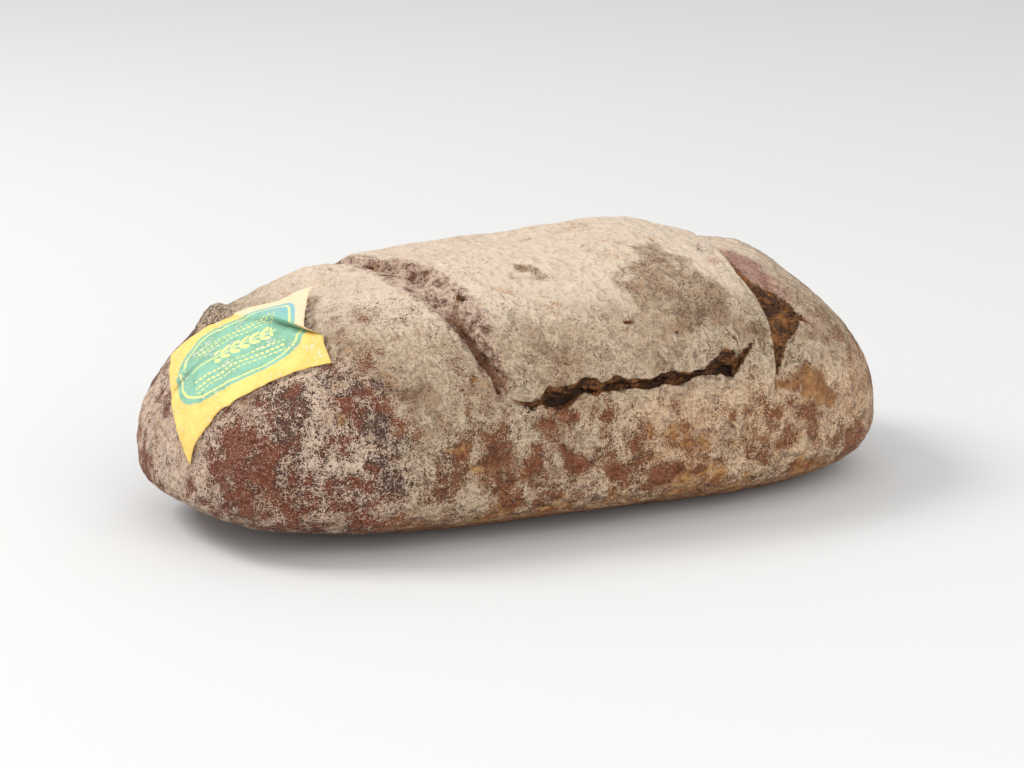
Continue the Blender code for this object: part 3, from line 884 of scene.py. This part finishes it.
def crustFinish():
    g = Graph("floured_crust", Metallic=0.0, IOR=1.4)
    where = g.node("ShaderNodeTexCoord", {}, out=3)
    cover = g.kept("flourCover")
    rust, gold, dark = g.keptParts("bareKinds")
    torn, crackShade, skin = g.keptParts("tornPartsAndShade")
    wall, leftEnd, line = g.keptParts("zones")
    opened, warm, high = g.keptParts("tones")
    relief = g.kept("relief")
    noises = [g.noise(where, *settings) for settings in crustNoise.values()]
    speck, grain, mottle, ragged, cloud, drift, rough, pit = noises
    pits = pit.between(0.66, 0.74) * drift.between(0.42, 0.62)
    tear = (ragged - 0.5) * 3.2

    # the baked crust where no flour hides it
    p = crustPaint
    bare = g.mix(drift.between(0.35, 0.65), p["baked"], p["bakedDark"])
    burnt = cloud * 0.4 + drift * 0.4 + mottle * 0.2
    burnt = g.mix(burnt.between(0.44, 0.56), p["endRed"], p["endDark"])
    bare = g.mix(leftEnd * 0.9, bare, burnt)
    golden = g.mix(cloud.between(0.35, 0.65), p["gold"], p["goldPale"])
    bare = g.mix((gold + tear).between(0.35, 1.0), bare, golden)
    bare = g.mix(warm * cloud.between(0.35, 0.6) * 0.7, bare, golden)
    rusty = cloud * 0.45 + mottle * 0.3 + speck * 0.25
    rusty = g.mix(rusty.between(0.42, 0.58), p["rust"], p["rustDeep"])
    rusty = g.mix(warm * ragged.between(0.40, 0.60) * 0.55, rusty, p["gold"])
    rusty = g.mix(leftEnd * 0.8, rusty, burnt)
    bare = g.mix((rust + tear).between(0.25, 0.85), bare, rusty)
    bare = g.mix((dark + tear).between(0.25, 0.95), bare, p["scorched"])
    bare = g.mix(wall.between(0.1, 0.8), bare, p["wall"])
    bare = g.mix(((0 - high) + tear * 0.5).between(0.1, 0.9), bare, p["rubbed"])

    # the flour, and how it breaks up over the crust
    # flour tone: random clouds and specks, and painted shade, darker where the relief and the
    # bump's noise sink
    flourToneAndShade = cloud * 0.5 + drift * 0.5 + (speck - 0.5) * 0.4 + (rough - 0.5) * 0.3 + relief * 0.06
    powder = g.mix(flourToneAndShade.between(0.36, 0.60), p["flourShade"], p["flour"])
    powder = g.mix(high.between(0.0, 1.0) * 0.7, powder, p["flourPale"])
    powder = g.mix(warm * ragged.between(0.3, 0.6), powder, p["flourPeach"])
    powder = g.mix(wall * 0.6, powder, p["flourRose"])
    powder = g.mix(leftEnd * 0.8, powder, p["flourAsh"])
    thin = (0 - high) + tear * 0.6 + (mottle - 0.5) * 2.4 + (speck - 0.5) * 2.0 + (grain - 0.5)
    powder = g.mix(thin.between(0.1, 1.7) * 0.8, powder, p["flourBrown"])
    thinner = 2.2 - cover * 1.3
    uneven = (mottle - 0.5) * (2.6 - leftEnd * 1.1) + (grain - 0.5) * (1.4 + leftEnd * 0.8)
    uneven = uneven + (speck - 0.5) * (2.2 + leftEnd * 0.5)
    uneven = uneven + (drift - 0.5) * (0.8 + leftEnd * 1.6) + (cloud - 0.5) * leftEnd * 2.2
    # the relief and the bump's noise also bare the crust in the hollows, so they show darker:
    # painted shade over the random breaks in the flour
    uneven = uneven + relief * (wall * 0.5 + 0.16) + (rough - 0.5) * (wall * 1.6 + 0.5)
    share = ((cover - 0.55) + uneven * thinner - pits * 0.5).between(-0.36, 0.40)
    share = share.most((speck * 0.7 + grain * 0.3).between(0.52, 0.66) * (leftEnd * 0.5 + 0.12))
    colour = g.mix(share, bare, powder)
    # painted shade: the low spots of the fine grain are darkened like pits in shade, less so on
    # top
    pitShading = 1 - (speck * 0.5 + grain * 0.5).between(0.36, 0.50)
    pitShading = pitShading * (0.50 - high.between(0.0, 1.0) * 0.30)
    colour = g.mix(pitShading, colour, p["pitShade"], "MULTIPLY")
    # painted shade along the groove's floor and round the foot of the loaf
    shadeLine = line + tear * 0.6 + (speck - 0.5) * 1.4
    shadeLineColour = g.mix((grain * 0.5 + speck * 0.5).between(0.42, 0.56), p["crumbDark"], p["line"])
    colour = g.mix(shadeLine.between(0.35, 0.95) * 0.9, colour, shadeLineColour)

    # torn places: crumb, the open patch and the pink skin beside the right tear
    # random crumb tone with painted light: the crumb is lighter where the relief stands up
    lit = cloud * 0.6 + grain * 0.4 + relief * 0.06
    crumb = g.mix(lit.between(0.42, 0.60), p["crumbDark"], p["crumb"])
    # painted shade deep in the tears
    crumb = g.mix((crackShade + tear * 0.2).between(0.45, 1.0), crumb, p["crumbShade"])
    grains = g.mix((grain * 0.6 + mottle * 0.4).between(0.44, 0.60), p["baked"], p["gold"])
    grains = g.mix((speck * 0.5 + cloud * 0.5).between(0.44, 0.58) * 0.8, grains, p["goldPale"])
    grains = g.mix((rough * 0.5 + speck * 0.5).between(0.50, 0.60) * 0.7, grains, p["bakedDark"])
    ajar = opened + tear * 0.7 + (mottle - 0.5) * 2.4 + (speck - 0.5) * 2.0 + (grain - 0.5)
    colour = g.mix(ajar.between(0.28, 0.80) * 0.92, colour, grains)
    rosy = g.mix((grain * 0.5 + mottle * 0.5).between(0.46, 0.66), p["skin"], p["flourRose"])
    rosy = g.mix((skin + tear * 0.5).between(0.5, 1.4) * 0.6, rosy, p["skin"])
    colour = g.mix((skin + tear * 0.7).between(0.1, 1.0) * 0.9, colour, rosy)
    colour = g.mix((torn + tear * 0.35).between(0.3, 0.7), colour, crumb)
    g.feed("Base Color", colour)
    g.feed("Roughness", 0.64 + share * 0.28)
    fine = (grain - 0.5) * (0.08 + leftEnd * 0.16) - pits * 0.10
    ease = 1.25 + wall * 0.8 + torn - high.between(0.0, 1.2) * 0.85
    g.bump(((rough - 0.5) + (cloud - 0.5) * 0.6) * ease + fine + share * 0.03, 0.0070)
    return g.material


# the paper label

paper = {
    "middle": (-0.1284, -0.0178, 0.0756),
    "along": (0.763, -0.414, 0.499),
    "across": (0.210, 0.893, 0.400),
    "size": (0.070, 0.057),
    "taper": 0.09,
    "cells": (92, 76),
    "thick": 0.00025,
    "gap": 0.0006,
    "reach": 0.060,
    "foldStart": (1.0, -0.44),
    "foldEnd": (0.06, 0.80),
    "foldWide": 0.0022,
    "foldFade": (0.018, 0.040),  # how far along the fold it starts to run out
    "flapLift": 0.0040,
    "flapSag": 0.35,
    "sagFrom": (0.004, 0.014),
    "flapCurl": 0.0022,
    "curlFrom": (0.012, 0.030),
    "ridge": 0.0014,
    "ridgeBack": 0.0040,
    "ridgeWide": 0.0022,
    "wave": 0.0006,
    "waveSize": 0.012,
    "edgeWave": 0.0009,
    "nick": 0.0008,
    "creaseHeight": 0.0011,
    "creaseBack": 0.0026,
    "creaseWide": 0.0020,
    "creaseDepth": 0.0003,
    "shadeWide": 0.0008,
    "flapPull": 0.0050,  # how far the flap draws back from the fold
    "flapStretch": 0.0032,
    "cornerPull": 0.0042,
}


def creased(s, t, past, fading, half):
    # how far the creases lift the paper, and how dark they show
    crease = (t - 0.02 - (s + 1) * 0.22) * half[1]
    inCrease = (1 - smooth(s, -0.62, -0.30)) * smooth(np.abs(s + 1), 0.0, 0.1)
    lift = paper["creaseHeight"] * bell(crease - paper["creaseBack"], paper["creaseWide"])
    lift = (lift - paper["creaseDepth"] * bell(crease, paper["creaseWide"] / 2)) * inCrease
    shade = bell(crease, paper["shadeWide"]) * inCrease * 0.8
    return lift, np.maximum(shade, bell(past - 0.0002, paper["shadeWide"]) * fading)


def makeLabel(loaf, material):
    tree = BVHTree.FromObject(loaf, bpy.context.evaluated_depsgraph_get())
    along, across = Vector(paper["along"]).normalized(), Vector(paper["across"]).normalized()
    outward = along.cross(across).normalized()
    across = outward.cross(along)
    mesh = bmesh.new()
    bmesh.ops.create_grid(mesh, x_segments=paper["cells"][0], y_segments=paper["cells"][1], size=1)
    data = meshData(mesh, "label_paper")
    s, t, _ = pointsOf(data).T
    half = np.array(paper["size"]) / 2
    flat = np.stack([s * half[0], t * half[1], s * 0], -1)

    # how far each point is past the fold that cuts off the curled corner
    start, end = np.array(paper["foldStart"]) * half, np.array(paper["foldEnd"]) * half
    way = (end - start) / np.linalg.norm(end - start)
    past = (flat[:, 1] - start[1]) * -way[0] + (flat[:, 0] - start[0]) * way[1]
    onward = (flat[:, 0] - start[0]) * way[0] + (flat[:, 1] - start[1]) * way[1]
    fading = 1 - smooth(onward, *paper["foldFade"]) * 0.7
    flap = smooth(past, 0.0, paper["foldWide"]) * fading
    lift = paper["flapLift"] * flap * (1 - paper["flapSag"] * smooth(past, *paper["sagFrom"]))
    lift += paper["flapCurl"] * smooth(past, *paper["curlFrom"]) ** 1.5
    ridge = bell(past + paper["ridgeBack"], paper["ridgeWide"]) * smooth(s, -0.1, 0.8)
    lift += paper["ridge"] * ridge
    lift += paper["wave"] * (1 + lumps(flat, paper["waveSize"], 41, 2))
    creaseLift, shade = creased(s, t, past, fading, half)
    lift += creaseLift

    # laid on the crust along rays from outside it
    edge = np.interp(flat[:, 0], ruler, wobble(0.030, paper["edgeWave"], 42))
    edge -= paper["nick"] * bell(s + 0.22, 0.04)
    points = np.zeros_like(flat)
    for n in range(len(flat)):
        wide = half[1] * (1 - paper["taper"] * s[n])
        stretch = min(max(past[n] / 0.030, 0), 1)
        back = paper["flapStretch"] * stretch - paper["flapPull"] * flap[n]
        corner = paper["cornerPull"] * max(s[n] * t[n], 0) ** 2
        spot = Vector(paper["middle"]) + outward * paper["reach"]
        spot += along * (s[n] * half[0] + back * max(s[n], 0) ** 2)
        spot += across * (t[n] * wide + edge[n] * abs(t[n]) - corner)
        points[n] = tree.ray_cast(spot, -outward)[0] + outward * (paper["gap"] + lift[n])
    place(data, points)
    keep(data, "sheetPlace", flat / mm)
    keep(data, "folds", np.stack([np.clip(past / mm / 10, -1, 3), shade, s * 0], -1))
    data.shade_smooth()
    label = linked("label_paper", data, material)
    thick = label.modifiers.new("thickness", "SOLIDIFY")
    thick.thickness = paper["thick"]
    thick.offset = 1.0
    print("label:", len(data.polygons), "faces")
    return label


labelPaint = {
    "field": paint(246, 205, 112),
    "fieldDeep": paint(234, 190, 86),
    "panel": paint(112, 182, 160),
    "panelDeep": paint(84, 162, 136),
    # painted sky light on the panel where the flap lifts
    "panelSkyLit": paint(104, 176, 184),
    "line": paint(224, 222, 132),
    # the flap's yellow: partly faded paper, partly painted back light
    "fieldFadedAndLit": paint(234, 204, 170),
    "crease": paint(70, 92, 62),
    "dust": paint(232, 222, 204),
}


# the print on the paper, in mm
artwork = {
    "panelHalf": (30.5, 22.5),
    "panelUp": 1.5,
    "panelPower": 2.8,
    "kernelEvery": 4.4,
    "kernelAway": 2.5,
    "kernelLean": 0.9,
    "kernelHalf": 1.9,
    "kernelsMiddle": 3.0,
    "kernelsHalf": (13.0, 13.2),
    "stemThick": (0.30, 0.55),
    "stemMiddle": -2.0,
    "stemHalf": (19.5, 20.0),
    "dashEvery": 2.2,
    "dashLean": 0.4,
    "dashesHalf": (20.0, 20.4),
    "rows": ((8.0, 0.40, 0.65), (11.2, 0.55, 0.80), (13.8, 0.30, 0.50)),
}


def printed(u, v):
    # where the panel is, and where its pale lines are
    a = artwork
    wide, tall = a["panelHalf"]
    panel = abs(u / wide) ** a["panelPower"] + abs((v - a["panelUp"]) / tall) ** a["panelPower"]
    panel = panel ** (1 / a["panelPower"])
    onPanel = 1 - panel.between(0.98, 1.02)
    ring = panel.between(0.885, 0.90) * (1 - panel.between(0.92, 0.935))

    # an ear of grain: a stem with pairs of kernels leaning along it
    step = ((u + 60.0) / a["kernelEvery"]).part() - 0.5
    side = abs(v) - a["kernelAway"]
    lean = step * a["kernelEvery"] - side * a["kernelLean"]
    kernel = (lean / a["kernelHalf"]) ** 2 + (side / a["kernelHalf"]) ** 2
    kernel = 1 - kernel.between(0.75, 1.0)
    kernel = kernel * (1 - abs(u - a["kernelsMiddle"]).between(*a["kernelsHalf"]))
    stem = 1 - abs(v).between(*a["stemThick"])
    stem = stem * (1 - abs(u - a["stemMiddle"]).between(*a["stemHalf"]))

    # rows of short dashes
    dash = ((u + v * a["dashLean"]) / a["dashEvery"] + 40.0).part().between(0.30, 0.36)
    rows = [1 - abs(abs(v) - away).between(thin, wide) for away, thin, wide in a["rows"]]
    rows = rows[0].most(rows[1]).most(rows[2])
    dashes = dash * rows * (1 - abs(u).between(*a["dashesHalf"]))
    return onPanel, ring.most(kernel).most(stem).most(dashes)


def paperFinish():
    g = Graph("yellow_paper", Metallic=0.0, Roughness=0.62)
    u, v, _ = g.keptParts("sheetPlace")
    past, shade, _ = g.keptParts("folds")
    where = g.node("ShaderNodeTexCoord", {}, out=3)
    fibre = g.noise(where, 0.0012, 3.0, 0.6)
    cloud = g.noise(where, 0.009, 4.0, 0.6)
    onPanel, motif = printed(u, v)
    p = labelPaint
    field = g.mix(cloud.between(0.35, 0.65), p["field"], p["fieldDeep"])
    ink = g.mix(cloud.between(0.40, 0.60), p["panel"], p["panelDeep"])
    # on the lifted flap the panel ink turns to a painted sky-lit blue, and the yellow turns peach,
    # partly faded paper and partly painted back light
    ink = g.mix(past.between(0.0, 0.9), ink, p["panelSkyLit"])
    colour = g.mix(past.between(0.0, 0.3) * 0.9, field, p["fieldFadedAndLit"])
    colour = g.mix(onPanel * (0.82 + fibre * 0.18), colour, ink)
    colour = g.mix(motif * onPanel * fibre.between(0.25, 0.50), colour, p["line"])
    rubbed = (fibre - 0.5) * 2.2 + (cloud - 0.5) * 2.0
    colour = g.mix(rubbed.between(0.05, 0.75) * 0.6, colour, p["dust"])
    colour = g.mix(shade * 0.75, colour, p["crease"])
    g.feed("Base Color", colour)
    g.bump(fibre * 0.5 + cloud, 0.0009)
    return g.material


# the studio

studio = {
    "floor": paint(212, 211, 209),
    "floorPale": (0.8, 0.8, 0.8, 1),
    "floorMottle": 0.4,
    "floorHalf": 6,
    "sky": paint(238, 239, 241),
    "skyPower": 0.94,
    "keyPlace": (-1.4, 0.85, 1.75),
    "keySize": 0.9,
    "keyPower": 35.5,
    "fillPlace": (0.1, -1.7, 0.9),
    "fillSize": 1.8,
    "fillPower": 19.0,
    "target": (0.0, 0.0, 0.0385),
    "azimuth": -25.0,
    "elevation": 15.98,
    "distance": 1.1,
    "lens": 88.5,
    "shift": (-0.0025, 0.0149),
}


def aimed(thing, where, target):
    thing.location = where
    thing.rotation_euler = (Vector(target) - Vector(where)).to_track_quat("-Z", "Y").to_euler()


def makeStudio():
    scene = bpy.context.scene
    turn, tilt = math.radians(studio["azimuth"]), math.radians(studio["elevation"])
    level = math.cos(tilt)
    back = Vector((math.sin(turn) * level, -math.cos(turn) * level, math.sin(tilt)))
    camera = bpy.data.objects.new("camera", bpy.data.cameras.new("camera"))
    scene.collection.objects.link(camera)
    camera.data.lens = studio["lens"]
    camera.data.shift_x, camera.data.shift_y = studio["shift"]
    aimed(camera, Vector(studio["target"]) + back * studio["distance"], studio["target"])
    scene.camera = camera
    scene.view_settings.view_transform = "Standard"

    for name in ("key", "fill"):
        lamp = bpy.data.lights.new(name, "AREA")
        lamp.size, lamp.energy = studio[name + "Size"], studio[name + "Power"]
        light = bpy.data.objects.new(name, lamp)
        scene.collection.objects.link(light)
        aimed(light, studio[name + "Place"], studio["target"])

    world = bpy.data.worlds.new("studio")
    scene.world = world
    world.use_nodes = True
    sky = world.node_tree.nodes["Background"]
    sky.inputs["Color"].default_value = studio["sky"]
    sky.inputs["Strength"].default_value = studio["skyPower"]

    g = Graph("pale_floor", Metallic=0.0, Roughness=0.9)
    where = g.node("ShaderNodeTexCoord", {}, out=3)
    mottle = g.noise(where, studio["floorMottle"], 2.0, 0.5).between(0.2, 0.8)
    g.feed("Base Color", g.mix(mottle * 0.02, studio["floor"], studio["floorPale"]))
    mesh = bmesh.new()
    bmesh.ops.create_grid(mesh, x_segments=8, y_segments=8, size=studio["floorHalf"])
    floor = linked("floor", meshData(mesh, "floor"), g.material)
    print("studio: camera, lights, floor")


makeStudio()
loaf = makeLoaf(crustFinish())
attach(loaf, "root")
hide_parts("bread_loaf")
label = makeLabel(loaf, paperFinish())
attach(label, "root")
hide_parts("paper_label")
